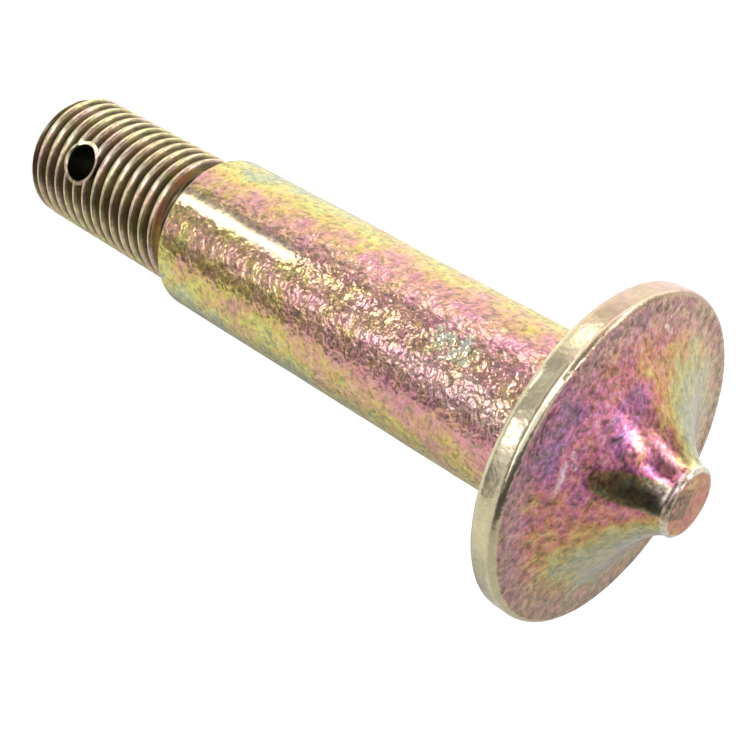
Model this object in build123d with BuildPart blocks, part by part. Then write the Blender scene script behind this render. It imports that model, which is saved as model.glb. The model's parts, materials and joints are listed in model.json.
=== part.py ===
from build123d import *
import os

# Sway bar link pin, in millimetres, standing on its threaded end.
# +Z runs up the pin's axis, from the threaded foot to the centre nub on the flared head.
# The split-pin hole runs along Y.

# Threaded end, a plain blank over the crests of a 7/16 in fine thread
thread_diameter = 11.1
thread_length = 16.95
end_chamfer = 0.55

# Relief groove between the thread and the shank, its depth taken from the crests
relief_depth = 0.85
relief_length = 2.0
relief_corner_radius = 0.4

# Shank that carries the bushing
shank_diameter = 13.0
shank_length = 38.85
shoulder_chamfer = 0.3

# Flange, whose underside is the seat
flange_diameter = 24.9
flange_thickness = 2.3
flange_edge_radius = 0.6
seat_fillet_radius = 0.6

# Concave flare that rises from the flange to the nub, inside a flat land round the rim
face_land = 1.15
flare_height = 5.4
flare_foot_reach = 3.1
flare_neck_reach = 1.95
flare_neck_taper = 11.0

# Centre nub left by the turning
nub_diameter = 5.2
nub_height = 0.4
nub_edge_chamfer = 0.2

# Split-pin hole across the thread
pin_hole_diameter = 3.2
pin_hole_height = 6.4
pin_hole_chamfer = 0.2

# Radii of the steps, worked out from the axis
thread_radius = thread_diameter / 2
relief_radius = thread_radius - relief_depth
shank_radius = shank_diameter / 2
flange_radius = flange_diameter / 2
flare_foot_radius = flange_radius - face_land
nub_radius = nub_diameter / 2
pin_hole_radius = pin_hole_diameter / 2

# Heights of the steps, worked out from the foot up
shoulder_height = thread_length + relief_length
seat_height = shoulder_height + shank_length
face_height = seat_height + flange_thickness
neck_height = face_height + flare_height
top_height = neck_height + nub_height

with BuildPart() as link_pin:
    # Thread blank with its lead-in chamfer
    with BuildSketch(Plane.XY):
        Circle(thread_radius)
    extrude(amount=shoulder_height)
    foot_edge = link_pin.edges().group_by(Axis.Z)[0]
    chamfer(foot_edge, end_chamfer)

    # Shank
    with BuildSketch(Plane.XY.offset(shoulder_height)):
        Circle(shank_radius)
    extrude(amount=shank_length)

    # Relief groove: a square wall and rounded corner at the shoulder, a 45 degree run-out at the thread
    with BuildSketch(Plane.XZ) as relief_section:
        with BuildLine():
            Polyline(
                (relief_radius, shoulder_height),
                (relief_radius, thread_length + relief_depth),
                (thread_radius, thread_length),
                (thread_radius, shoulder_height),
                close=True,
            )
        make_face()
        shoulder_corner = relief_section.vertices().group_by(Axis.Y)[-1].sort_by(Axis.X)[0]
        fillet(shoulder_corner, relief_corner_radius)
    revolve(axis=Axis.Z, mode=Mode.SUBTRACT)

    # Broken edge at the shoulder
    shoulder_edge = (
        link_pin.edges()
        .filter_by(GeomType.CIRCLE)
        .filter_by(lambda edge: abs(edge.center().Z - shoulder_height) < 0.001)
        .sort_by(SortBy.RADIUS)[-1]
    )
    chamfer(shoulder_edge, shoulder_chamfer)

    # Upset head in one half section: flange rim, concave flare and nub
    with BuildSketch(Plane.XZ) as head_section:
        with BuildLine():
            rim = Polyline(
                (0, seat_height),
                (flange_radius, seat_height),
                (flange_radius, face_height),
                (flare_foot_radius, face_height),
            )
            foot = Vector(flare_foot_radius, face_height)
            neck = Vector(nub_radius, neck_height)
            neck_pull = Vector(0, -flare_neck_reach).rotate(Axis.Z, flare_neck_taper)
            flare = Bezier(foot, foot - (flare_foot_reach, 0), neck + neck_pull, neck)
            Polyline(
                flare @ 1,
                (nub_radius, top_height),
                (0, top_height),
                rim @ 0,
            )
        make_face()
        rim_corners = head_section.vertices().group_by(Axis.X)[-1]
        fillet(rim_corners, flange_edge_radius)
    revolve(axis=Axis.Z)
    nub_edge = link_pin.edges().group_by(Axis.Z)[-1]
    chamfer(nub_edge, nub_edge_chamfer)

    # Forging radius where the shank meets the seat
    seat_edge = (
        link_pin.edges()
        .filter_by(GeomType.CIRCLE)
        .filter_by(lambda edge: abs(edge.center().Z - seat_height) < 0.001)
        .sort_by(SortBy.RADIUS)[0]
    )
    fillet(seat_edge, seat_fillet_radius)

    # Split-pin hole straight across the thread, with both mouths eased
    with BuildSketch(Plane.XZ):
        with Locations((0, pin_hole_height)):
            Circle(pin_hole_radius)
    extrude(amount=thread_diameter, both=True, mode=Mode.SUBTRACT)
    pin_hole_wall = (
        link_pin.faces()
        .filter_by(GeomType.CYLINDER)
        .filter_by(lambda face: abs(face.radius - pin_hole_radius) < 0.001)
    )
    chamfer(pin_hole_wall.edges().filter_by(GeomType.LINE, reverse=True), pin_hole_chamfer)

link_pin.part.label = "link_pin"

os.makedirs("parts", exist_ok=True)
export_step(link_pin.part, "parts/link_pin.step")
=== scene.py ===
import json
import math
from functools import reduce

import bpy
from bpy.props import FloatProperty, FloatVectorProperty, IntProperty, PointerProperty
from mathutils import Matrix, Vector
from mathutils.geometry import interpolate_bezier


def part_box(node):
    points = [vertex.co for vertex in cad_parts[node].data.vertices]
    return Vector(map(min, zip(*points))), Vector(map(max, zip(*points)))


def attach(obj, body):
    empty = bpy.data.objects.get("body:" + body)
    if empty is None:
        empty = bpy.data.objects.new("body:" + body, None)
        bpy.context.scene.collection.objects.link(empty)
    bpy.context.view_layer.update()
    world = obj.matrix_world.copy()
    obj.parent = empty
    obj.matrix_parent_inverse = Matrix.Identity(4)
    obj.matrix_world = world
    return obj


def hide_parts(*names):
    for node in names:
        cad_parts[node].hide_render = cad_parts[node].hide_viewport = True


bl_info = {
    "name": "Sway bar link pin",
    "version": (1, 0, 0),
    "blender": (4, 5, 0),
    "location": "View3D > Sidebar > Link pin",
    "description": "Makes a headed link pin with a rolled thread, a split-pin hole and a yellow finish",
    "category": "Object",
}

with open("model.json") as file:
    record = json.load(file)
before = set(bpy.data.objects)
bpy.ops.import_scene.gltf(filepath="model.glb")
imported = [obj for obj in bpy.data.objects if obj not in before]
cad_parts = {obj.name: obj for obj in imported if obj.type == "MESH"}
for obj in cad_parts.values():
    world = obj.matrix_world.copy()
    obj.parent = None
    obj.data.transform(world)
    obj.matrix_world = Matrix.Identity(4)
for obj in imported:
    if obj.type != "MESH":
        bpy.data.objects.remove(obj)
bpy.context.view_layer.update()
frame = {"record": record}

MM = 0.001
MOUNTS = {mount["name"]: mount for mount in frame["record"]["mounts"]}
THREAD_RADIUS = MOUNTS["thread"]["dims"]["r_mm"] * MM
SHANK_RADIUS = MOUNTS["shank"]["dims"]["r_mm"] * MM
HOLE_RADIUS = MOUNTS["split_pin_hole"]["dims"]["r_mm"] * MM
HOLE_HEIGHT = MOUNTS["split_pin_hole"]["pos_m"][2]
SEAT_HEIGHT = MOUNTS["seat"]["pos_m"][2]
TOP_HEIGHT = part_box("link_pin")[1].z
FLANGE_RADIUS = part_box("link_pin")[1].x

# The half section: lengths of its steps, points in the flare's curve, degrees in one step of an arc,
# and the turn in radians and the radius that are taken as none
PROFILE_STEP = 0.3 * MM
NUB_STEP = 0.15 * MM
FLARE_POINTS = 56
ARC_STEP = 15
FEWEST_ARC_STEPS = 3
SMALLEST_TURN = 0.001
ON_AXIS = 0.001 * MM

# The thread: rows of faces in a pitch, spare turns past the run-out, and its form in parts of a pitch
THREAD_ROWS = 16
SPARE_TURNS = 3
VALLEY_HALF = 1 / 16
FLANK_WIDTH = 11 / 32
EASED = 0.3
CUT_IN = 0.25 * MM
WELD = 0.002 * MM

# Swells of the forged skin: cells in a metre, detail and amount of each, and where they begin
SWELLS = ((0.22 / MM, 1.0, 2.2), (0.7 / MM, 2.0, 0.8))
SWELL_FADE = 1.5 * MM

# Cutters of the split-pin hole: its drill in radii of the crests, its cones in radii of the hole
DRILL_SIDES = 64
DRILL_REACH = 2.4
LIP_BELOW_CRESTS = 0.08 * MM
LIP_BAR_REACH = 1.9
CONE_TIP = 0.2
CONE_BASE = 2.2
CONE_DEPTH = 2.0
CONE_MIDDLE = 1.2

SHARP_ANGLE = math.radians(38)


def length(name, default, text):
    """A length property, in metres."""
    return FloatProperty(name=name, default=default, unit="LENGTH", precision=5, description=text)


def in_degrees(name, default, text):
    """An angle property, with its default in degrees."""
    return FloatProperty(name=name, default=math.radians(default), subtype="ANGLE", description=text)


def colour(name, default, text):
    """A colour property, in linear red, green and blue."""
    return FloatVectorProperty(
        name=name, default=default, subtype="COLOR", min=0.0, max=1.0, description=text
    )


class PinSizes(bpy.types.PropertyGroup):
    """The pin's sizes"""

    thread_radius: length("Thread radius", THREAD_RADIUS, "Radius over the crests")
    thread_depth: length("Thread depth", 0.78 * MM, "Depth of the valleys below the crests")
    pitch: length("Pitch", 1.27 * MM, "Rise of one turn, 20 turns to the inch")
    thread_start: length("Thread start", -1.497 * MM, "Height at which the first turn is cut in")
    thread_length: length("Thread length", 16.95 * MM, "Height at which the run-out begins")
    end_chamfer: length("End chamfer", 0.55 * MM, "Lead-in chamfer on the foot")
    relief_depth: length("Relief depth", 0.85 * MM, "Depth of the groove below the crests")
    relief_length: length("Relief length", 2.0 * MM, "Length of the groove up to the shoulder")
    relief_corner: length("Relief corner", 0.4 * MM, "Radius in the groove's corner")
    shank_radius: length("Shank radius", SHANK_RADIUS, "Radius of the plain shank")
    shoulder_chamfer: length("Shoulder chamfer", 0.3 * MM, "Broken edge on the shoulder")
    seat_height: length("Seat height", SEAT_HEIGHT, "Height of the flange's underside")
    seat_fillet: length("Seat fillet", 0.6 * MM, "Forging radius under the flange")
    flange_radius: length("Flange radius", FLANGE_RADIUS, "Radius over the rim")
    flange_thickness: length("Flange thickness", 2.3 * MM, "Height of the rim")
    flange_edge: length("Flange edge", 0.6 * MM, "Radius on both edges of the rim")
    face_land: length("Face land", 1.15 * MM, "Flat ring between the rim and the flare")
    flare_foot_reach: length("Flare foot reach", 3.1 * MM, "How far the flare stays flat at its foot")
    flare_neck_reach: length("Flare neck reach", 1.95 * MM, "How far the flare stays steep at its neck")
    flare_neck_taper: in_degrees("Neck taper", 11, "Lean of the neck")
    nub_radius: length("Nub radius", 2.6 * MM, "Radius of the centre nub")
    nub_height: length("Nub height", 0.4 * MM, "Straight side of the nub")
    nub_edge: length("Nub edge", 0.2 * MM, "Broken edge on the nub")
    top_height: length("Top height", TOP_HEIGHT, "Overall height of the pin")
    hole_radius: length("Hole radius", HOLE_RADIUS, "Radius of the split-pin hole")
    hole_height: length("Hole height", HOLE_HEIGHT, "Height of the hole's axis")
    mouth_flare: length("Mouth flare", 0.22 * MM, "Countersink at both mouths of the hole")
    lip_width: length("Lip width", 0.32 * MM, "Ring of pushed-up metal round the mouths")
    worn_edge: length("Worn edge", 0.09 * MM, "Rounding of the edges under the plating")
    unevenness: length("Unevenness", 0.035 * MM, "How far the forged skin strays from true")
    columns: IntProperty(name="Columns", default=160, min=32, description="Faces round the pin")


class Value:
    """A socket in an expression: arithmetic on it adds Math nodes to its tree."""

    def __init__(self, tree, socket):
        self.tree = tree
        self.socket = socket

    def math(self, operation, *others):
        return self.tree.node("ShaderNodeMath", {"operation": operation}, (self, *others))

    def __add__(self, other):
        return self.math("ADD", other)

    def __sub__(self, other):
        return self.math("SUBTRACT", other)

    def __rsub__(self, other):
        return self.tree.node("ShaderNodeMath", {"operation": "SUBTRACT"}, (other, self))

    def __mul__(self, other):
        return self.math("MULTIPLY", other)

    def __truediv__(self, other):
        return self.math("DIVIDE", other)

    def __mod__(self, other):
        return self.math("FLOORED_MODULO", other)

    def __pow__(self, other):
        return self.math("POWER", other)

    __radd__ = __add__
    __rmul__ = __mul__

    def least(self, other):
        return self.math("MINIMUM", other)

    def most(self, other):
        return self.math("MAXIMUM", other)

    def size(self):
        return self.math("ABSOLUTE")

    def step(self, low, high, top=1.0):
        """0 below low, top above high, and smooth between them; low may be the larger."""
        return self.tree.node(
            "ShaderNodeMapRange",
            {"interpolation_type": "SMOOTHSTEP"},
            {"Value": self, 1: low, 2: high, 3: 0.0, 4: top},
        )


class Nodes:
    """A node tree that is filled by expressions."""

    def __init__(self, tree):
        self.tree = tree

    def node(self, kind, settings=None, values=(), output=0):
        """Adds a node, sets it up, feeds its sockets, and gives one of its outputs if it has any."""
        made = self.tree.nodes.new(kind)
        for name, value in (settings or {}).items():
            if name == "stops":
                set_stops(made.color_ramp, value)
            else:
                setattr(made, name, value)
        pairs = values.items() if isinstance(values, dict) else enumerate(values)
        for name, value in pairs:
            for one in value if isinstance(value, list) else [value]:
                self.feed(made.inputs[name], one)
        return Value(self, made.outputs[output]) if made.outputs else None

    def feed(self, socket, value):
        if isinstance(value, Value):
            self.tree.links.new(value.socket, socket)
        else:
            socket.default_value = value

    def xyz(self, x, y, z):
        return self.node("ShaderNodeCombineXYZ", None, (x, y, z))

    def parts(self, vector):
        """The three numbers of a vector."""
        first = self.node("ShaderNodeSeparateXYZ", None, (vector,))
        return [Value(self, out) for out in first.socket.node.outputs]

    def vector(self, operation, *values):
        return self.node("ShaderNodeVectorMath", {"operation": operation}, values)

    def mix(self, low, high, factor):
        """A colour between low and high."""
        return self.node(
            "ShaderNodeMix", {"data_type": "RGBA"}, {0: factor, 6: low, 7: high}, output=2
        )

    def noise(self, place, scale, detail, roughness=0.5):
        """Noise at a place, with scale as the number of cells in a metre."""
        values = {"Vector": place, "Scale": scale, "Detail": detail, "Roughness": roughness}
        return self.node("ShaderNodeTexNoise", None, values)


def emptied(owner):
    """The node tree of a material or a world, with nothing in it."""
    owner.use_nodes = True
    owner.node_tree.nodes.clear()
    return Nodes(owner.node_tree)


def set_stops(ramp, stops):
    """Gives a colour ramp its (place, colour) stops."""
    while len(ramp.elements) < len(stops):
        ramp.elements.new(1.0)
    for element, (place, rgb) in zip(ramp.elements, stops):
        element.position = place
        element.color = (*rgb, 1.0)


def group_inputs(group, rows):
    """Declares a geometry tree's inputs, and gives them by name."""
    group.interface.new_socket("Geometry", in_out="INPUT", socket_type="NodeSocketGeometry")
    for name, kind in rows:
        group.interface.new_socket(name, in_out="INPUT", socket_type=f"NodeSocket{kind}")
    group.interface.new_socket("Geometry", in_out="OUTPUT", socket_type="NodeSocketGeometry")
    nodes = Nodes(group)
    entry = nodes.node("NodeGroupInput").socket.node
    return nodes, {out.name: Value(nodes, out) for out in entry.outputs if out.name}


def rounded(corners, step):
    """Points along (radius, height, rounding) corners, with arcs at the rounded ones."""
    places = [Vector(corner[:2]) for corner in corners]
    path = [places[0]]
    for before, here, after, corner in zip(places, places[1:], places[2:], corners[1:]):
        into = (here - before).normalized()
        onward = (after - here).normalized()
        turn = into.angle_signed(onward)
        rounding = corner[2]
        if rounding and abs(turn) > SMALLEST_TURN:
            cut = rounding * math.tan(abs(turn) / 2)
            steps = max(FEWEST_ARC_STEPS, round(math.degrees(abs(turn)) / ARC_STEP))
            handle = 4 / 3 * math.tan(abs(turn) / 4) * rounding
            start, end = here - into * cut, here + onward * cut
            arc = interpolate_bezier(
                start, start + into * handle, end - onward * handle, end, steps + 1
            )
            path += [Vector(point[:2]) for point in arc]
        else:
            path.append(here)
    path.append(places[-1])
    return divided(path, step)


def divided(path, step):
    """The same path with its long runs cut into even steps."""
    points = [path[0]]
    for before, after in zip(path, path[1:]):
        count = max(1, round((after - before).length / step))
        points += [before.lerp(after, k / count) for k in range(1, count + 1)]
    return points


def head_section(sizes):
    """Half section from the relief groove up to the centre of the nub."""
    groove = sizes.thread_radius - sizes.relief_depth
    shoulder = sizes.thread_length + sizes.relief_length
    face = sizes.seat_height + sizes.flange_thickness
    neck = sizes.top_height - sizes.nub_height
    worn = sizes.worn_edge
    lower = rounded(
        [
            (groove, sizes.thread_length + sizes.relief_depth, 0),
            (groove, shoulder, sizes.relief_corner),
            (sizes.shank_radius - sizes.shoulder_chamfer, shoulder, worn),
            (sizes.shank_radius, shoulder + sizes.shoulder_chamfer, worn),
            (sizes.shank_radius, sizes.seat_height, sizes.seat_fillet),
            (sizes.flange_radius, sizes.seat_height, sizes.flange_edge),
            (sizes.flange_radius, face, sizes.flange_edge),
            (sizes.flange_radius - sizes.face_land, face, 0),
        ],
        PROFILE_STEP,
    )
    foot = Vector((sizes.flange_radius - sizes.face_land, face))
    top = Vector((sizes.nub_radius, neck))
    lean = Vector((math.sin(sizes.flare_neck_taper), -math.cos(sizes.flare_neck_taper)))
    foot_handle = foot - Vector((sizes.flare_foot_reach, 0))
    neck_handle = top + lean * sizes.flare_neck_reach
    flare = interpolate_bezier(foot, foot_handle, neck_handle, top, FLARE_POINTS)
    upper = rounded(
        [
            (sizes.nub_radius, neck, 0),
            (sizes.nub_radius, sizes.top_height - sizes.nub_edge, worn),
            (sizes.nub_radius - sizes.nub_edge, sizes.top_height, worn),
            (0, sizes.top_height, 0),
        ],
        NUB_STEP,
    )
    return lower[:-1] + [Vector(point[:2]) for point in flare] + upper[1:]


def foot_section(sizes):
    """Half section of the flat foot, from its centre to its chamfer."""
    edge = sizes.thread_radius - sizes.end_chamfer
    return divided([Vector((0, 0)), Vector((edge, 0))], PROFILE_STEP)


def revolved(name, sections, columns):
    """A mesh of the half sections turned round the Z axis, open where a section ends off it."""
    places, faces = [], []
    for section in sections:
        rings = []
        for radius, height in section:
            if radius < ON_AXIS:
                rings.append([len(places)] * columns)
                places.append((0, 0, height))
                continue
            rings.append(list(range(len(places), len(places) + columns)))
            for column in range(columns):
                angle = math.tau * column / columns
                places.append((radius * math.cos(angle), radius * math.sin(angle), height))
        for low, high in zip(rings, rings[1:]):
            for here in range(columns):
                after = (here + 1) % columns
                loop = [low[here], low[after], high[after], high[here]]
                faces.append(list(dict.fromkeys(loop)))
    mesh = bpy.data.meshes.new(name)
    mesh.from_pydata(places, [], faces)
    return mesh


def thread_tree():
    """Geometry nodes that cut the helical thread, unsettle the skin and drill the hole."""
    group = bpy.data.node_groups.new("Thread and hole", "GeometryNodeTree")
    nodes, given = group_inputs(
        group,
        [
            ("Crest radius", "Float"),
            ("Thread depth", "Float"),
            ("Pitch", "Float"),
            ("Thread start", "Float"),
            ("Run-out height", "Float"),
            ("End chamfer", "Float"),
            ("Relief radius", "Float"),
            ("Columns", "Int"),
            ("Rows", "Int"),
            ("Hole radius", "Float"),
            ("Hole height", "Float"),
            ("Mouth flare", "Float"),
            ("Lip width", "Float"),
            ("Unevenness", "Float"),
            ("Shoulder", "Float"),
            ("Material", "Material"),
        ],
    )
    thread = thread_sleeve(nodes, given)
    body = nodes.node("GeometryNodeJoinGeometry", None, ([given["Geometry"], thread],))
    closed = nodes.node("GeometryNodeMergeByDistance", None, {0: body, "Distance": WELD})
    skin = forged_skin(nodes, given, closed)
    filled = boolean(nodes, "UNION", [skin, raised_lip(nodes, given)])
    drilled = boolean(nodes, "DIFFERENCE", hole_cutters(nodes, given), filled)
    solid = nodes.node("GeometryNodeRealizeInstances", None, (drilled,))
    plated = {0: solid, "Material": given["Material"]}
    finished = nodes.node("GeometryNodeSetMaterial", None, plated)
    nodes.node("NodeGroupOutput", None, (finished,))
    return group


def thread_sleeve(nodes, given):
    """A sleeve whose rows of faces climb with the helix, squeezed flat at both ends."""
    columns = given["Columns"] + 1
    rows = given["Rows"] + 1
    sheet = nodes.node("GeometryNodeMeshGrid", None, (1.0, 1.0, columns, rows))
    across, along, _ = nodes.parts(nodes.node("GeometryNodeInputPosition"))
    turn = across + 0.5
    climb = (along + 0.5) * given["Rows"] / THREAD_ROWS
    pitch = given["Pitch"]
    helix = pitch * (climb + turn) + given["Thread start"]
    height = helix.most(0.0).least(given["Run-out height"])
    from_valley = ((climb + 1 / 2) % 1.0 - 1 / 2).size()
    flank = ((from_valley - VALLEY_HALF) / FLANK_WIDTH).most(0.0).least(1.0)
    rise = flank * (1 - EASED) + flank.step(0.0, 1.0) * EASED
    cut_in = height.step(0.0, CUT_IN)
    cut = given["Crest radius"] - given["Thread depth"] * (1 - rise) * cut_in
    lead_in = given["Crest radius"] - given["End chamfer"] + height
    run_out = given["Relief radius"] + given["Run-out height"] - height
    radius = cut.least(lead_in).least(run_out)
    angle = turn * math.tau
    place = nodes.xyz(radius * angle.math("COSINE"), radius * angle.math("SINE"), height)
    return nodes.node("GeometryNodeSetPosition", None, {"Geometry": sheet, "Position": place})


def forged_skin(nodes, given, mesh):
    """Moves the skin above the shoulder in and out a little, as forging leaves it."""
    place = nodes.node("GeometryNodeInputPosition")
    height = nodes.parts(place)[2]
    normal = nodes.node("GeometryNodeInputNormal")
    above = height.step(given["Shoulder"], given["Shoulder"] + SWELL_FADE)
    swells = sum((nodes.noise(place, cells, detail) - 0.5) * top for cells, detail, top in SWELLS)
    swell = swells * given["Unevenness"] * above
    offset = nodes.node("ShaderNodeVectorMath", {"operation": "SCALE"}, {0: normal, "Scale": swell})
    return nodes.node("GeometryNodeSetPosition", None, {"Geometry": mesh, "Offset": offset})


def boolean(nodes, operation, meshes, body=None):
    """Joins, cuts or crosses closed meshes."""
    values = {"Mesh 2": meshes}
    if body is not None:
        values["Mesh 1"] = body
    settings = {"operation": operation, "solver": "MANIFOLD"}
    return nodes.node("GeometryNodeMeshBoolean", settings, values)


def cylinder(nodes, sides, radius, depth):
    """A closed cylinder along Z, round the origin."""
    values = {"Vertices": sides, "Side Segments": 1, "Radius": radius, "Depth": depth}
    return nodes.node("GeometryNodeMeshCylinder", {"fill_type": "NGON"}, values)


def at_hole(nodes, given, mesh, along=0.0, turn=0.0):
    """A mesh moved to the height of the hole and along it, and turned about X by some degrees."""
    values = {
        "Geometry": mesh,
        "Translation": nodes.xyz(0.0, along, given["Hole height"]),
        "Rotation": (math.radians(turn), 0.0, 0.0),
    }
    return nodes.node("GeometryNodeTransform", None, values)


def raised_lip(nodes, given):
    """Metal that the drill pushed into the valleys round both mouths, level with the crests."""
    mouth = given["Hole radius"] + given["Lip width"]
    plug = cylinder(nodes, DRILL_SIDES, mouth, given["Crest radius"] * DRILL_REACH)
    crests = given["Crest radius"] - LIP_BELOW_CRESTS
    bar = cylinder(nodes, given["Columns"], crests, given["Hole height"] * LIP_BAR_REACH)
    pair = [at_hole(nodes, given, plug, turn=90.0), at_hole(nodes, given, bar)]
    return boolean(nodes, "INTERSECT", pair)


def hole_cutters(nodes, given):
    """The drill and the two countersinks of the split-pin hole, which runs along Y."""
    hole = given["Hole radius"]
    drill = cylinder(nodes, DRILL_SIDES, hole, given["Crest radius"] * DRILL_REACH)
    cutters = [at_hole(nodes, given, drill, turn=90.0)]
    out = given["Crest radius"] - given["Mouth flare"] + hole * CONE_MIDDLE
    for side in (-1, 1):
        values = {
            "Vertices": DRILL_SIDES,
            "Side Segments": 1,
            "Radius Top": hole * CONE_TIP,
            "Radius Bottom": hole * CONE_BASE,
            "Depth": hole * CONE_DEPTH,
        }
        cone = nodes.node("GeometryNodeMeshCone", {"fill_type": "NGON"}, values)
        cutters.append(at_hole(nodes, given, cone, along=out * side, turn=side * 90.0))
    return cutters


# Bands along the pin: the azimuth of each in degrees, and the cosines of the angles off it where it
# starts and is full
FRONT = -98.0
BANDS = {
    "shoulder_front": (FRONT, 0.3, 0.95),
    "shoulder_side": (-112.0, 0.8, 0.97),
    "seat_front": (FRONT, 0.35, 0.85),
    "centre_line": (-102.0, 0.97, 1.0),
    # A painted highlight along the front of the shank, and the front of the rim brightened as painted
    # light
    "middle": (FRONT, 0.85, 0.97),
    # The rim's top, which gets a thicker film and painted shade
    "topside": (-160.0, 0.6, 0.95),
    "collar": (-125.0, 0.8, 0.95),
    "fringe": (-125.0, 0.9, 0.98),
    "bruised": (-92.0, 0.91, 0.985),
    # A painted dark reflection on the flare by the nub
    "stain": (-79.0, 0.0, 0.2),
    "scuff": (-108.0, 0.98, 1.0),
    # A smoother streak on the lower shank, with a painted highlight
    "polished": (-107.5, 0.988, 0.997),
    # A painted highlight near the flange
    "lilac": (-85.0, 0.965, 0.998),
}

# Rings round the axis: the distances from it in millimetres where each starts and is full
RINGS = {
    "head": (6.8, 7.6),
    "land": (10.6, 11.4),
    "flat": (5.0, 11.0),
    "dulled": (8.8, 11.2),
    "bruised": (8.0, 9.4),
    "collar": (5.4, 4.4),
    "nub_edge": (2.2, 2.4),
    # The painted dark reflection narrows past this ring
    "stain_foot": (4.4, 6.0),
}

# Stretches along the pin: the heights in millimetres where each starts and is full
STRETCHES = {
    "seat_film": (22.0, 48.0),
    "deep_folds": (22.0, 40.0),
    # Where the painted highlight near the flange runs
    "lilac": (38.0, 54.0),
    # Where the smoother streak with its painted highlight runs
    "polished": (34.0, 31.0),
}

# Edges of the surfaces: how far past its own size each starts and is full, in millimetres
EDGES = {
    "face": (-0.12, -0.01),
    "nub": (-0.3, -0.1),
    "nub_edge": (-0.15, 0.05),
    "neck": (0.3, 1.2),
    "threaded": (0.0, -0.2),
    "turns": (0.6, 0.0),
    "valley": (-0.06, -0.3),
    "hole": (0.12, 0.02),
    "inside": (-0.1, -0.5),
}

# Noises of the film and the skin: cells in a millimetre, detail and roughness
NOISES = {
    "broad": (0.2, 1.0, 0.5),
    "blotch": (0.5, 2.0, 0.55),
    "speck": (1.6, 1.0, 0.5),
    "ragged": (1.5, 2.0, 0.5),
    "grain": (1.5, 2.0, 0.65),
    "cells": (1.9, 1.0, 0.5),
    "pits": (2.1, 1.0, 0.5),
    "fine": (3.5, 1.0, 0.5),
    "wrinkle": (1.45, 1.5, 0.6),
}
VEIN_HALF_WIDTH = 0.07
PIT_DEPTHS = (-0.05, -0.14)

# The flare faces the front less towards the rim, where it levels out
FLAT_TILT = 0.15
FLAT_LEVEL = 0.6
FACING_FADE = (0.15, 1.05)

# A painted dark reflection by the nub: the azimuth its width is taken along, and its measures in
# millimetres
DARK_REFLECTION_ACROSS = 11.0
DARK_REFLECTION_HALF_WIDTH = (1.2, 1.0)
DARK_REFLECTION_TAPER = 0.3
DARK_REFLECTION_END = (6.5, 6.0)
DARK_REFLECTION_BOW = 0.6
DARK_REFLECTION_RAGGED = 1.2

# A worn spot on the shank, and a thicker film at one side of the neck's foot, in millimetres
SCUFF_HEIGHT = 48.3
SCUFF_HALF_HEIGHT = (2.6, 1.2)
SCUFF_RAGGED = 3.0
SCUFF_STRAY = 0.07
FRINGE_REACH = 6.6
FRINGE_HALF_WIDTH = (1.3, 0.5)

# The side of the face that is in shade, by its place along X in millimetres
SHADED_ACROSS = (-6.0, 7.0)

# Scratches on the head's face, each from one (x, y) to another, in millimetres
SCRATCH_REACH = 0.3
SCRATCHES = (
    ((-11.3, -2.6), (-9.6, -3.4)),
    ((-9.7, -3.3), (-9.4, -2.5)),
    ((-11.0, -1.9), (-10.8, -1.0)),
    ((0.9, -8.2), (2.9, -7.7)),
    ((0.0, -8.0), (0.9, -7.5)),
)

# Colours of the film from the thinnest to the thickest, and the order at which each is pure
SHANK_FILM = ("grey_green", "green", "gold", "peach", "rose", "raspberry", "violet")
FACE_FILM = ("olive", "straw", "orange", "vermilion", "pink", "plum", "violet")
FILM_STOPS = (0.0, 0.14, 0.28, 0.44, 0.62, 0.8, 1.0)
THICKEST_ON_SHANK = 0.85

LUSTRE = {"IOR": 6.0, "Thin Film Thickness": 405.0, "Thin Film IOR": 1.6}
FOLD_DEPTH = 0.095 * MM


class Spot:
    """The place being shaded, as masks and noises that depend on where it lies on the pin."""

    def __init__(self, nodes):
        self.nodes = nodes
        self.place = nodes.node("ShaderNodeTexCoord", None, (), output=3)
        self.x, self.y, self.height = nodes.parts(self.place)
        self.radius = (self.x * self.x + self.y * self.y) ** 0.5
        self.reach = self.radius / MM
        flat = nodes.vector("MULTIPLY", self.place, (1.0, 1.0, 0.0))
        self.outward = nodes.vector("NORMALIZE", flat)

    def faces(self, azimuth):
        """How far the place faces an azimuth, from -1 to 1."""
        angle = math.radians(azimuth)
        return self.nodes.node(
            "ShaderNodeVectorMath",
            {"operation": "DOT_PRODUCT"},
            (self.outward, (math.cos(angle), math.sin(angle), 0.0)),
            output=1,
        )

    def band(self, name):
        azimuth, start, full = BANDS[name]
        return self.faces(azimuth).step(start, full)

    def ring(self, name):
        return self.reach.step(*RINGS[name])

    def stretch(self, name):
        start, full = STRETCHES[name]
        return self.height.step(start * MM, full * MM)

    def noise(self, name):
        """A named noise, from -0.5 to 0.5."""
        cells, detail, roughness = NOISES[name]
        return self.nodes.noise(self.place, cells / MM, detail, roughness) - 0.5


def past(value, size, name):
    """A mask of where a value is past one of the pin's sizes, faded over the named edge."""
    start, full = EDGES[name]
    return value.step(size + start * MM, size + full * MM)


def level(where, base, **added):
    """A base amount, and what each named mask adds to it where it is full."""
    return sum((where[name] * amount for name, amount in added.items()), base)


def share(where, **changed):
    """A factor round 1, which each named mask raises or lowers by a share where it is full."""
    return math.prod(1 + where[name] * amount for name, amount in changed.items())


def strongest(where, **amounts):
    """The strongest of the named masks, each times its amount."""
    return reduce(Value.most, (where[name] * amount for name, amount in amounts.items()))


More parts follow.
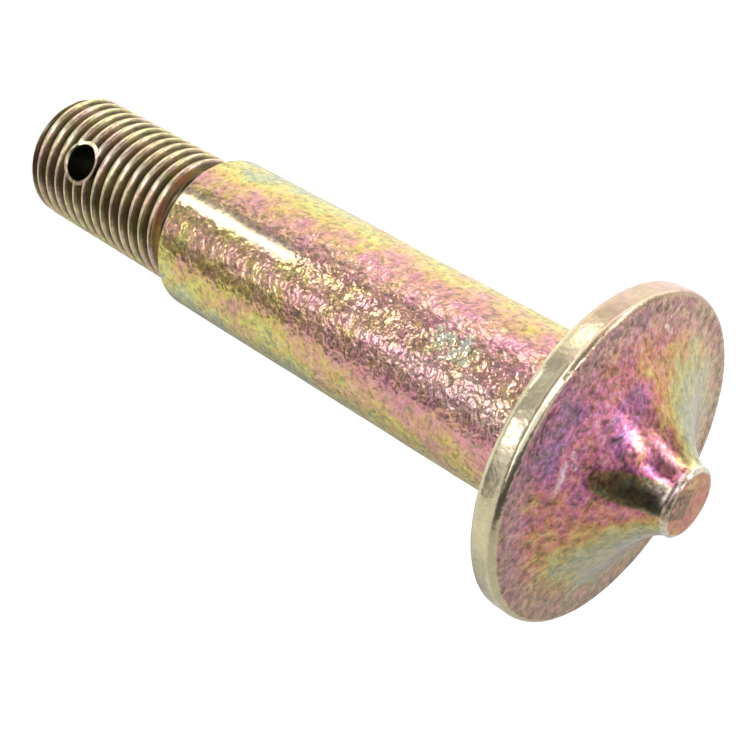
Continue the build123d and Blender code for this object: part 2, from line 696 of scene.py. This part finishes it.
def surfaces(spot, sizes):
    """Masks, from 0 to 1, for the pin's different surfaces."""
    face_height = sizes.seat_height + sizes.flange_thickness
    neck_height = sizes.top_height - sizes.nub_height
    shoulder = sizes.thread_length + sizes.relief_length
    above_hole = spot.height - sizes.hole_height
    off_hole = (spot.x * spot.x + above_hole * above_hole) ** 0.5
    face = past(spot.height, face_height, "face")
    threaded = past(spot.height, shoulder, "threaded")
    turns = past(spot.height, sizes.thread_length, "turns")
    bored = past(off_hole, sizes.hole_radius, "hole")
    return {
        "face": face,
        "rim": spot.ring("head") * (1 - face),
        # The flat land between rim and flare, painted darker as shade
        "land": face * spot.ring("land"),
        "nub": past(spot.height, sizes.top_height, "nub"),
        # The nub's edge, which gets a painted highlight
        "nub_edge": past(spot.height, neck_height, "nub_edge") * spot.ring("nub_edge"),
        "neck": past(spot.height, face_height, "neck"),
        "threaded": threaded,
        "groove": threaded * (1 - turns),
        "valley": past(spot.radius, sizes.thread_radius, "valley") * turns,
        "inside": bored * past(spot.y.size(), sizes.thread_radius, "inside"),
    }


def stain(spot, ragged):
    """A dark strip on the flare by the nub, with a ragged end: a painted dark reflection."""
    aside = spot.faces(DARK_REFLECTION_ACROSS) * spot.reach
    width = aside.size() + spot.ring("stain_foot") * DARK_REFLECTION_TAPER
    end = spot.reach + aside * aside * DARK_REFLECTION_BOW + ragged * DARK_REFLECTION_RAGGED
    return width.step(*DARK_REFLECTION_HALF_WIDTH) * end.step(*DARK_REFLECTION_END) * spot.band("stain")


def scuff(spot, ragged):
    """A pale spot on the shank where the film is worn."""
    azimuth, start, full = BANDS["scuff"]
    across = (spot.faces(azimuth) + ragged * SCUFF_STRAY).step(start, full)
    along = (spot.height / MM - SCUFF_HEIGHT + ragged * SCUFF_RAGGED).size()
    return across * along.step(*SCUFF_HALF_HEIGHT)


def scratches(spot):
    """Fine bright lines where the film is scraped off."""
    x, y = spot.x / MM, spot.y / MM
    lines = []
    for (from_x, from_y), (to_x, to_y) in SCRATCHES:
        run_x, run_y = to_x - from_x, to_y - from_y
        span = run_x * run_x + run_y * run_y
        off_x, off_y = x - from_x, y - from_y
        along = ((off_x * run_x + off_y * run_y) / span).most(0.0).least(1.0)
        gap_x, gap_y = off_x - along * run_x, off_y - along * run_y
        lines.append((gap_x * gap_x + gap_y * gap_y).step(SCRATCH_REACH**2, 0.0))
    return reduce(Value.most, lines)


def markings(spot, where, fine):
    """Masks for the streaks and worn places of the film, and for painted highlights, painted shade and
    a painted dark reflection, by the surfaces they lie on.
    """
    face, rim = where["face"], where["rim"]
    ragged = spot.noise("ragged")
    front = spot.faces(FRONT)
    flat = spot.ring("flat")
    tilt = front * (1 - flat) + (front * FLAT_TILT + FLAT_LEVEL) * flat
    facing = face * tilt.step(*FACING_FADE)
    # The front of the shank and the rim, where highlights are painted
    middle = spot.band("middle") * (1 - face)
    coarse = (1 - where["threaded"].most(rim)) * share(where, face=-0.3)
    return {
        "shoulder_front": spot.band("shoulder_front"),
        "shoulder_side": spot.band("shoulder_side"),
        "seat_front": spot.band("seat_front"),
        "centre_line": spot.band("centre_line"),
        "facing": facing,
        "averted": face - facing,
        "shaded": face * (spot.x / MM).step(*SHADED_ACROSS),
        # The rim's top: a thicker film with less khaki, and painted shade in its tone
        "topside": rim * spot.band("topside"),
        # Painted highlights: a pale line along the front of the shank, and a brighter front on the rim
        "middle": middle,
        "rim_middle": rim * middle,
        # A dark strip on the flare by the nub: a painted dark reflection
        "stain": face * stain(spot, ragged),
        "scuff": scuff(spot, ragged),
        "collar": spot.band("collar") * spot.ring("collar"),
        "fringe": spot.band("fringe") * (spot.reach - FRINGE_REACH).size().step(*FRINGE_HALF_WIDTH),
        "bruised": face * spot.band("bruised") * spot.ring("bruised"),
        # A smoother streak on the lower shank, made paler as a painted highlight
        "polished": spot.band("polished") * spot.stretch("polished"),
        # A painted highlight on the shank near the flange
        "lilac": spot.band("lilac") * spot.stretch("lilac") * (1 - face),
        "veins": spot.noise("cells").size().step(VEIN_HALF_WIDTH, 0.0) * coarse,
        "pits": spot.noise("pits").step(*PIT_DEPTHS) * coarse,
        "marks": scratches(spot) * face * (fine * 0.6 + 0.85),
    }


def film_order(spot, where):
    """How thick the chromate film is, from 0, grey green, to 1, violet."""
    shoulder = level(where, 0.04, shoulder_front=0.27, shoulder_side=0.17)
    seat = level(where, 0.27, seat_front=0.33)
    shank = shoulder + spot.stretch("seat_film") * (seat - shoulder)
    shank = level(where, shank * share(where, scuff=-0.45), centre_line=-0.09)
    face = level(where, 0.04, facing=0.66, bruised=0.3)
    face = level(where, face * share(where, collar=-0.12), fringe=0.24)
    # Under the painted dark reflection the film thins towards olive
    face = level(where, face * share(where, stain=-0.8, nub=-1), nub=0.4)
    order = shank * share(where, face=-1, rim=-1) + face * where["face"]
    order = level(where, order, rim=0.27, topside=0.25)
    order = level(where, order * share(where, threaded=-1), threaded=0.34)
    specks = spot.noise("speck") * level(where, 0.4, facing=0.2)
    stray = spot.noise("broad") * 0.35 + spot.noise("blotch") * 0.9 + specks
    return order + stray * share(where, nub=-0.5, averted=-0.45, threaded=0.6, rim=-0.6)


def film_ramp(nodes, order, colours, names):
    """The film's colour by its order, from the thinnest to the thickest."""
    stops = [(stop, getattr(colours, name)) for stop, name in zip(FILM_STOPS, names)]
    return nodes.node("ShaderNodeValToRGB", {"stops": stops}, (order,))


def layered(nodes, under, colours, **layers):
    """Colours laid one over another, each as strongly as its mask says."""
    for name, amount in layers.items():
        under = nodes.mix(under, (*getattr(colours, name), 1.0), amount)
    return under


def film_colour(spot, where, colours, fine):
    """The film's colour with its mottling and its marks, and with painted highlights, painted shade and
    a painted dark reflection.
    """
    nodes = spot.nodes
    order = film_order(spot, where)
    on_shank = film_ramp(nodes, order.least(THICKEST_ON_SHANK), colours, SHANK_FILM)
    on_face = film_ramp(nodes, order, colours, FACE_FILM)
    # Cream along wrinkles, the worn spot and scratches, and as painted highlights on the lower shank's
    # streak and on the nub's edge
    pale = strongest(where, veins=0.2, scuff=0.55, marks=0.35, polished=0.35, nub_edge=0.75)
    outer = where["face"] * spot.ring("dulled") * 0.55
    layers = layered(
        nodes,
        nodes.mix(on_shank, on_face, where["face"]),
        colours,
        # Painted highlights along the front and near the flange are cream too
        cream=level(where, pale, middle=0.1, lilac=0.22),
        # Dark olive in the pits, and in the painted dark reflection by the nub
        dark_olive=strongest(where, pits=0.5, stain=0.4),
        dull_pink=outer * share(where, bruised=-0.6, marks=-0.8),
        khaki=level(where, 0.0, threaded=0.55, rim=0.8, topside=-0.3),
    )
    grit = spot.noise("grain") * level(where, 1.3, rim=-0.8, facing=2.0)
    grit = grit + fine * where["facing"] * 2.4
    # Painted light: the face brighter where it faces the front
    tone = level(where, 1 + grit, facing=0.12)
    # Painted shade: the face's shaded side, the land, the painted dark reflection and the rim's top
    # darker; painted light: the thread brighter
    tone = tone * share(where, shaded=-0.12, land=-0.1, stain=-0.35, topside=-0.1, threaded=0.06)
    # Lighter where the film is scraped or worn; painted light: the nub, the nub's edge and the rim's
    # front brighter
    tone = tone * share(where, marks=0.45, nub=0.18, nub_edge=0.2, scuff=0.3, rim_middle=0.2)
    return nodes.node("ShaderNodeVectorMath", {"operation": "SCALE"}, {0: layers, "Scale": tone})


def folds(spot, where, fine):
    """The wrinkles that forging left, as a bump: deep on the upper shank, faint on flare and thread."""
    height = spot.noise("wrinkle") * 1.4 + fine * 0.35
    # Fainter along the smooth streak of the painted highlight, and on the neck, the thread and the rim
    height = height * share(where, polished=-0.9, neck=-0.9, threaded=-0.8, rim=-0.75)
    height = height * (spot.stretch("deep_folds") * 0.35 + 0.65)
    values = {"Strength": 1.0, "Distance": FOLD_DEPTH, "Height": height}
    return spot.nodes.node("ShaderNodeBump", None, values)


def plating(colours, sizes):
    """Zinc plate under a yellow chromate film, which turns from green through gold to violet."""
    material = bpy.data.materials.new("yellow_zinc")
    nodes = emptied(material)
    spot = Spot(nodes)
    fine = spot.noise("fine")
    where = surfaces(spot, sizes)
    where.update(markings(spot, where, fine))
    film = film_colour(spot, where, colours, fine)
    # The thread's valleys and the relief groove are darkened nearly to black
    sunk = strongest(where, groove=0.93, valley=0.8)
    dark = sunk.most(where["inside"])
    shader = nodes.node(
        "ShaderNodeBsdfPrincipled",
        None,
        {
            "Base Color": layered(nodes, film, colours, valley=sunk, hole=where["inside"]),
            # Less metallic at the nub's edge, under its painted highlight
            "Metallic": level(where, dark * 0.18 + 0.82, nub_edge=-0.4),
            "Roughness": level(where, 0.22, threaded=0.05),
            "Normal": folds(spot, where, fine),
            **LUSTRE,
        },
    )
    nodes.node("ShaderNodeOutputMaterial", None, {"Surface": shader})
    return material


class PlatingColours(bpy.types.PropertyGroup):
    """Colours of the film on the zinc"""

    grey_green: colour("Grey green", (0.62, 0.63, 0.33), "Thinnest film")
    green: colour("Green", (0.83, 0.78, 0.18), "Thin film")
    gold: colour("Gold", (0.94, 0.66, 0.18), "Film of middle thickness")
    peach: colour("Peach", (0.93, 0.50, 0.29), "Film between gold and rose")
    rose: colour("Rose", (0.89, 0.38, 0.40), "Thick film")
    raspberry: colour("Raspberry", (0.80, 0.27, 0.43), "Thicker film")
    violet: colour("Violet", (0.40, 0.17, 0.44), "Thickest film")
    olive: colour("Olive", (0.66, 0.65, 0.43), "Thinnest film on the face")
    straw: colour("Straw", (0.79, 0.68, 0.28), "Thin film on the face")
    orange: colour("Orange", (0.90, 0.51, 0.18), "Film of middle thickness on the face")
    vermilion: colour("Vermilion", (0.88, 0.29, 0.24), "Film between orange and pink on the face")
    pink: colour("Pink", (0.83, 0.23, 0.40), "Thick film on the face")
    plum: colour("Plum", (0.58, 0.18, 0.44), "Thicker film on the face")
    dull_pink: colour("Dull pink", (0.62, 0.43, 0.41), "Film on the outer part of the face")
    # Dark olive is also painted into the dark reflection on the flare by the nub
    dark_olive: colour("Dark olive", (0.25, 0.24, 0.14), "Film in the pits of the skin")
    # Cream also makes painted highlights: on the lower shank's streak, along the front, near the flange
    # and on the nub's edge
    cream: colour("Cream", (0.95, 0.92, 0.78), "Thin film along the wrinkles of the skin")
    khaki: colour("Khaki", (0.82, 0.77, 0.56), "Film worn thin on the crests and the rim")
    # The thread's valleys and the relief groove are darkened nearly to this colour
    valley: colour("Valley", (0.075, 0.058, 0.025), "Dark film in the thread's valleys")
    hole: colour("Hole", (0.20, 0.20, 0.16), "Wall of the split-pin hole")


def set_inputs(modifier, values):
    """Sets a geometry modifier's inputs, each by its socket's identifier."""
    items = modifier.node_group.interface.items_tree
    sockets = {item.name: item.identifier for item in items if item.in_out == "INPUT"}
    for name, value in values.items():
        modifier[sockets[name]] = value


class OBJECT_OT_link_pin(bpy.types.Operator):
    """Turns, threads and drills the pin, and plates it"""

    bl_idname = "object.link_pin_make"
    bl_label = "Make the pin"

    def execute(self, context):
        sizes = context.scene.link_pin_sizes
        sections = [foot_section(sizes), head_section(sizes)]
        blank = revolved("link_pin_blank", sections, sizes.columns)
        pin = bpy.data.objects.new("plated_link_pin", blank)
        context.collection.objects.link(pin)
        run_out = sizes.thread_length + sizes.relief_depth
        turns = math.ceil(run_out / sizes.pitch) + SPARE_TURNS
        modifier = pin.modifiers.new("thread", "NODES")
        modifier.node_group = thread_tree()
        values = {
            "Crest radius": sizes.thread_radius,
            "Thread depth": sizes.thread_depth,
            "Pitch": sizes.pitch,
            "Thread start": sizes.thread_start,
            "Run-out height": run_out,
            "End chamfer": sizes.end_chamfer,
            "Relief radius": sizes.thread_radius - sizes.relief_depth,
            "Columns": sizes.columns,
            "Rows": turns * THREAD_ROWS,
            "Hole radius": sizes.hole_radius,
            "Hole height": sizes.hole_height,
            "Mouth flare": sizes.mouth_flare,
            "Lip width": sizes.lip_width,
            "Unevenness": sizes.unevenness,
            "Shoulder": sizes.thread_length + sizes.relief_length,
            "Material": plating(context.scene.link_pin_colours, sizes),
        }
        set_inputs(modifier, values)
        evaluated = pin.evaluated_get(context.evaluated_depsgraph_get())
        made = bpy.data.meshes.new_from_object(evaluated)
        pin.modifiers.remove(modifier)
        pin.data = made
        made.polygons.foreach_set("use_smooth", [True] * len(made.polygons))
        made.set_sharp_from_angle(angle=SHARP_ANGLE)
        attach(pin, "root")
        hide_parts("link_pin")
        return {"FINISHED"}


class StageSettings(bpy.types.PropertyGroup):
    """The lens and the light"""

    azimuth: in_degrees("Azimuth", 7.708, "Turn of the lens about Z")
    elevation: in_degrees("Elevation", 34.483, "Height of the lens")
    roll: in_degrees("Roll", 121.014, "Turn of the picture")
    target: FloatVectorProperty(
        name="Target",
        default=(3.268 * MM, -0.442 * MM, 39.558 * MM),
        subtype="TRANSLATION",
        description="Point at the middle of the picture",
    )
    distance: length("Distance", 113.243 * MM, "From the lens to the target")
    lens: FloatProperty(name="Lens", default=73.011, description="Focal length in millimetres")
    wall_level: FloatProperty(name="Wall level", default=0.72, description="Brightness of the walls")
    box_level: FloatProperty(name="Box level", default=0.8, description="Brightness of the light boxes")
    sensor: FloatProperty(name="Sensor", default=36.0, description="Sensor width in millimetres")
    nearest: length("Nearest", 5 * MM, "Nearest thing that the lens sees")


def aim(camera, settings):
    """Puts the camera where the settings say, looking at the target and rolled."""
    cos_az, sin_az = math.cos(settings.azimuth), math.sin(settings.azimuth)
    cos_el, sin_el = math.cos(settings.elevation), math.sin(settings.elevation)
    forward = Vector((cos_el * sin_az, cos_el * cos_az, -sin_el))
    sideways = Vector((cos_az, -sin_az, 0))
    upright = sideways.cross(forward)
    right = math.cos(settings.roll) * sideways + math.sin(settings.roll) * upright
    up = math.cos(settings.roll) * upright - math.sin(settings.roll) * sideways
    place = Vector(settings.target) - forward * settings.distance
    turned = Matrix((right, up, -forward)).transposed().to_4x4()
    camera.matrix_world = Matrix.Translation(place) @ turned


# Light boxes round the pin: azimuth, height, half width and half height in degrees, and strength
LIGHT_BOXES = (
    (-116.0, -43.0, 3.3, 5.0, 9.0),
    (-81.0, -31.0, 5.9, 5.0, 4.2),
    (-156.0, -24.0, 7.3, 6.0, 3.0),
    (-95.0, 12.0, 39.0, 7.0, 1.5),
    (179.0, 68.5, 5.2, 3.2, 10.0),
    (145.0, 67.0, 4.0, 1.5, 2.5),
    (166.0, 48.0, 2.2, 4.0, 6.5),
    (177.0, 30.0, 2.2, 14.0, 6.5),
    (173.0, 11.0, 2.2, 6.0, 6.5),
    (-123.0, 63.0, 2.2, 5.0, 7.5),
    (-116.0, 43.0, 2.0, 16.0, 7.5),
    (-110.0, 23.0, 2.0, 7.0, 7.5),
    (178.0, -3.0, 45.0, 6.0, 1.2),
    (-168.0, -43.0, 13.0, 9.0, 0.2),
    (135.0, -40.0, 34.0, 30.0, 0.5),
    (84.0, -43.0, 4.4, 5.0, 6.0),
    (93.0, -31.0, 5.1, 5.0, 5.0),
)

# Black cards between them, in the same terms, with how much light each takes away
BLACK_CARDS = (
    (-44.0, 37.0, 21.0, 43.0, 0.97),
    (-146.0, 45.0, 18.0, 21.0, 0.85),
    (-135.0, 74.0, 14.0, 6.0, 0.45),
    (150.0, 40.0, 9.0, 24.0, 0.6),
    (0.0, 86.0, 40.0, 8.0, 0.3),
    (-92.0, -10.0, 39.0, 9.0, 0.85),
    (-131.0, -38.0, 6.5, 13.0, 0.75),
    (-97.0, -38.0, 21.0, 12.0, 0.72),
    (-47.0, -39.0, 10.1, 12.0, 0.87),
    (30.0, 25.0, 54.0, 45.0, 0.3),
    (27.0, -32.0, 15.0, 6.0, 0.36),
    (48.0, -38.0, 10.2, 14.0, 0.4),
    (84.0, -37.0, 17.6, 10.0, 0.6),
)

# Soft edges of the boxes and cards: a share of the half width, up to so many degrees
EDGE_SHARE = 1 / 4
WIDEST_EDGE = 4.0

# The floor: half its width in metres, its paint, and how much it glows for the lens
FLOOR_HALF = 1.5
FLOOR_PAINT = (0.5, 0.5, 0.5, 1.0)
FLOOR_GLOW = 0.85


def patch(azimuth, height, level_part, box):
    """A soft-edged rectangle among the directions round the pin, as strong as its amount."""
    middle, middle_height, half_width, half_height, amount = box
    off = (azimuth - middle).math("WRAP", 180.0, -180.0).size() * level_part
    above = (height - middle_height).size()
    side = min(half_width * EDGE_SHARE, WIDEST_EDGE)
    brow = min(half_height * EDGE_SHARE, WIDEST_EDGE)
    wide = off.step(half_width + side, half_width - side, amount)
    return wide * above.step(half_height + brow, half_height - brow)


def studio(settings):
    """White walls with light boxes and black cards, seen only in the pin's reflections."""
    world = bpy.data.worlds.new("studio")
    nodes = emptied(world)
    direction = nodes.node("ShaderNodeTexCoord", None, (), output=0)
    x, y, z = nodes.parts(direction)
    azimuth = y.math("ARCTAN2", x) * math.degrees(1)
    height = z.math("ARCSINE") * math.degrees(1)
    level_part = (x * x + y * y) ** 0.5
    light = sum(patch(azimuth, height, level_part, box) for box in LIGHT_BOXES)
    shade = math.prod(1 - patch(azimuth, height, level_part, card) for card in BLACK_CARDS)
    glow = shade * settings.wall_level + light * settings.box_level
    seen = nodes.node("ShaderNodeLightPath")
    strength = glow * (1 - seen) + seen
    white = (1.0, 1.0, 1.0, 1.0)
    background = nodes.node("ShaderNodeBackground", None, {"Color": white, "Strength": strength})
    nodes.node("ShaderNodeOutputWorld", None, {"Surface": background})
    return world


def white_floor():
    """A white floor that takes the pin's shadow and is left out of its reflections."""
    mesh = bpy.data.meshes.new("floor")
    corners = [(x * FLOOR_HALF, y * FLOOR_HALF, 0) for x, y in ((-1, -1), (1, -1), (1, 1), (-1, 1))]
    mesh.from_pydata(corners, [], [(0, 1, 2, 3)])
    floor = bpy.data.objects.new("floor", mesh)
    material = bpy.data.materials.new("white_floor")
    nodes = emptied(material)
    seen = nodes.node("ShaderNodeLightPath")
    paint = nodes.node("ShaderNodeBsdfDiffuse", None, {"Color": FLOOR_PAINT})
    glow = nodes.node("ShaderNodeEmission", None, {"Strength": seen * FLOOR_GLOW})
    both = nodes.node("ShaderNodeAddShader", None, (paint, glow))
    nodes.node("ShaderNodeOutputMaterial", None, {"Surface": both})
    mesh.materials.append(material)
    floor.visible_glossy = False
    floor.visible_shadow = False
    return floor


class SCENE_OT_link_pin_stage(bpy.types.Operator):
    """Lays a white floor, and sets up the light and the camera"""

    bl_idname = "scene.link_pin_stage"
    bl_label = "Make the stage"

    def execute(self, context):
        scene = context.scene
        settings = scene.link_pin_stage
        scene.view_settings.view_transform = "Standard"
        scene.world = studio(settings)
        floor = white_floor()
        context.collection.objects.link(floor)
        camera = bpy.data.objects.new("camera", bpy.data.cameras.new("camera"))
        context.collection.objects.link(camera)
        camera.data.sensor_width = settings.sensor
        camera.data.lens = settings.lens
        camera.data.clip_start = settings.nearest
        aim(camera, settings)
        scene.camera = camera
        return {"FINISHED"}


class VIEW3D_PT_link_pin(bpy.types.Panel):
    """Lists the two operators in the sidebar"""

    bl_label = "Link pin"
    bl_idname = "VIEW3D_PT_link_pin"
    bl_space_type = "VIEW_3D"
    bl_region_type = "UI"
    bl_category = "Link pin"

    def draw(self, context):
        self.layout.operator(OBJECT_OT_link_pin.bl_idname)
        self.layout.operator(SCENE_OT_link_pin_stage.bl_idname)


CLASSES = (
    PinSizes,
    PlatingColours,
    StageSettings,
    OBJECT_OT_link_pin,
    SCENE_OT_link_pin_stage,
    VIEW3D_PT_link_pin,
)


def register():
    for cls in CLASSES:
        bpy.utils.register_class(cls)
    bpy.types.Scene.link_pin_sizes = PointerProperty(type=PinSizes)
    bpy.types.Scene.link_pin_colours = PointerProperty(type=PlatingColours)
    bpy.types.Scene.link_pin_stage = PointerProperty(type=StageSettings)


def unregister():
    del bpy.types.Scene.link_pin_sizes
    del bpy.types.Scene.link_pin_colours
    del bpy.types.Scene.link_pin_stage
    for cls in reversed(CLASSES):
        bpy.utils.unregister_class(cls)


def main():
    register()
    bpy.ops.object.link_pin_make()
    bpy.ops.scene.link_pin_stage()


if __name__ == "__main__":
    main()
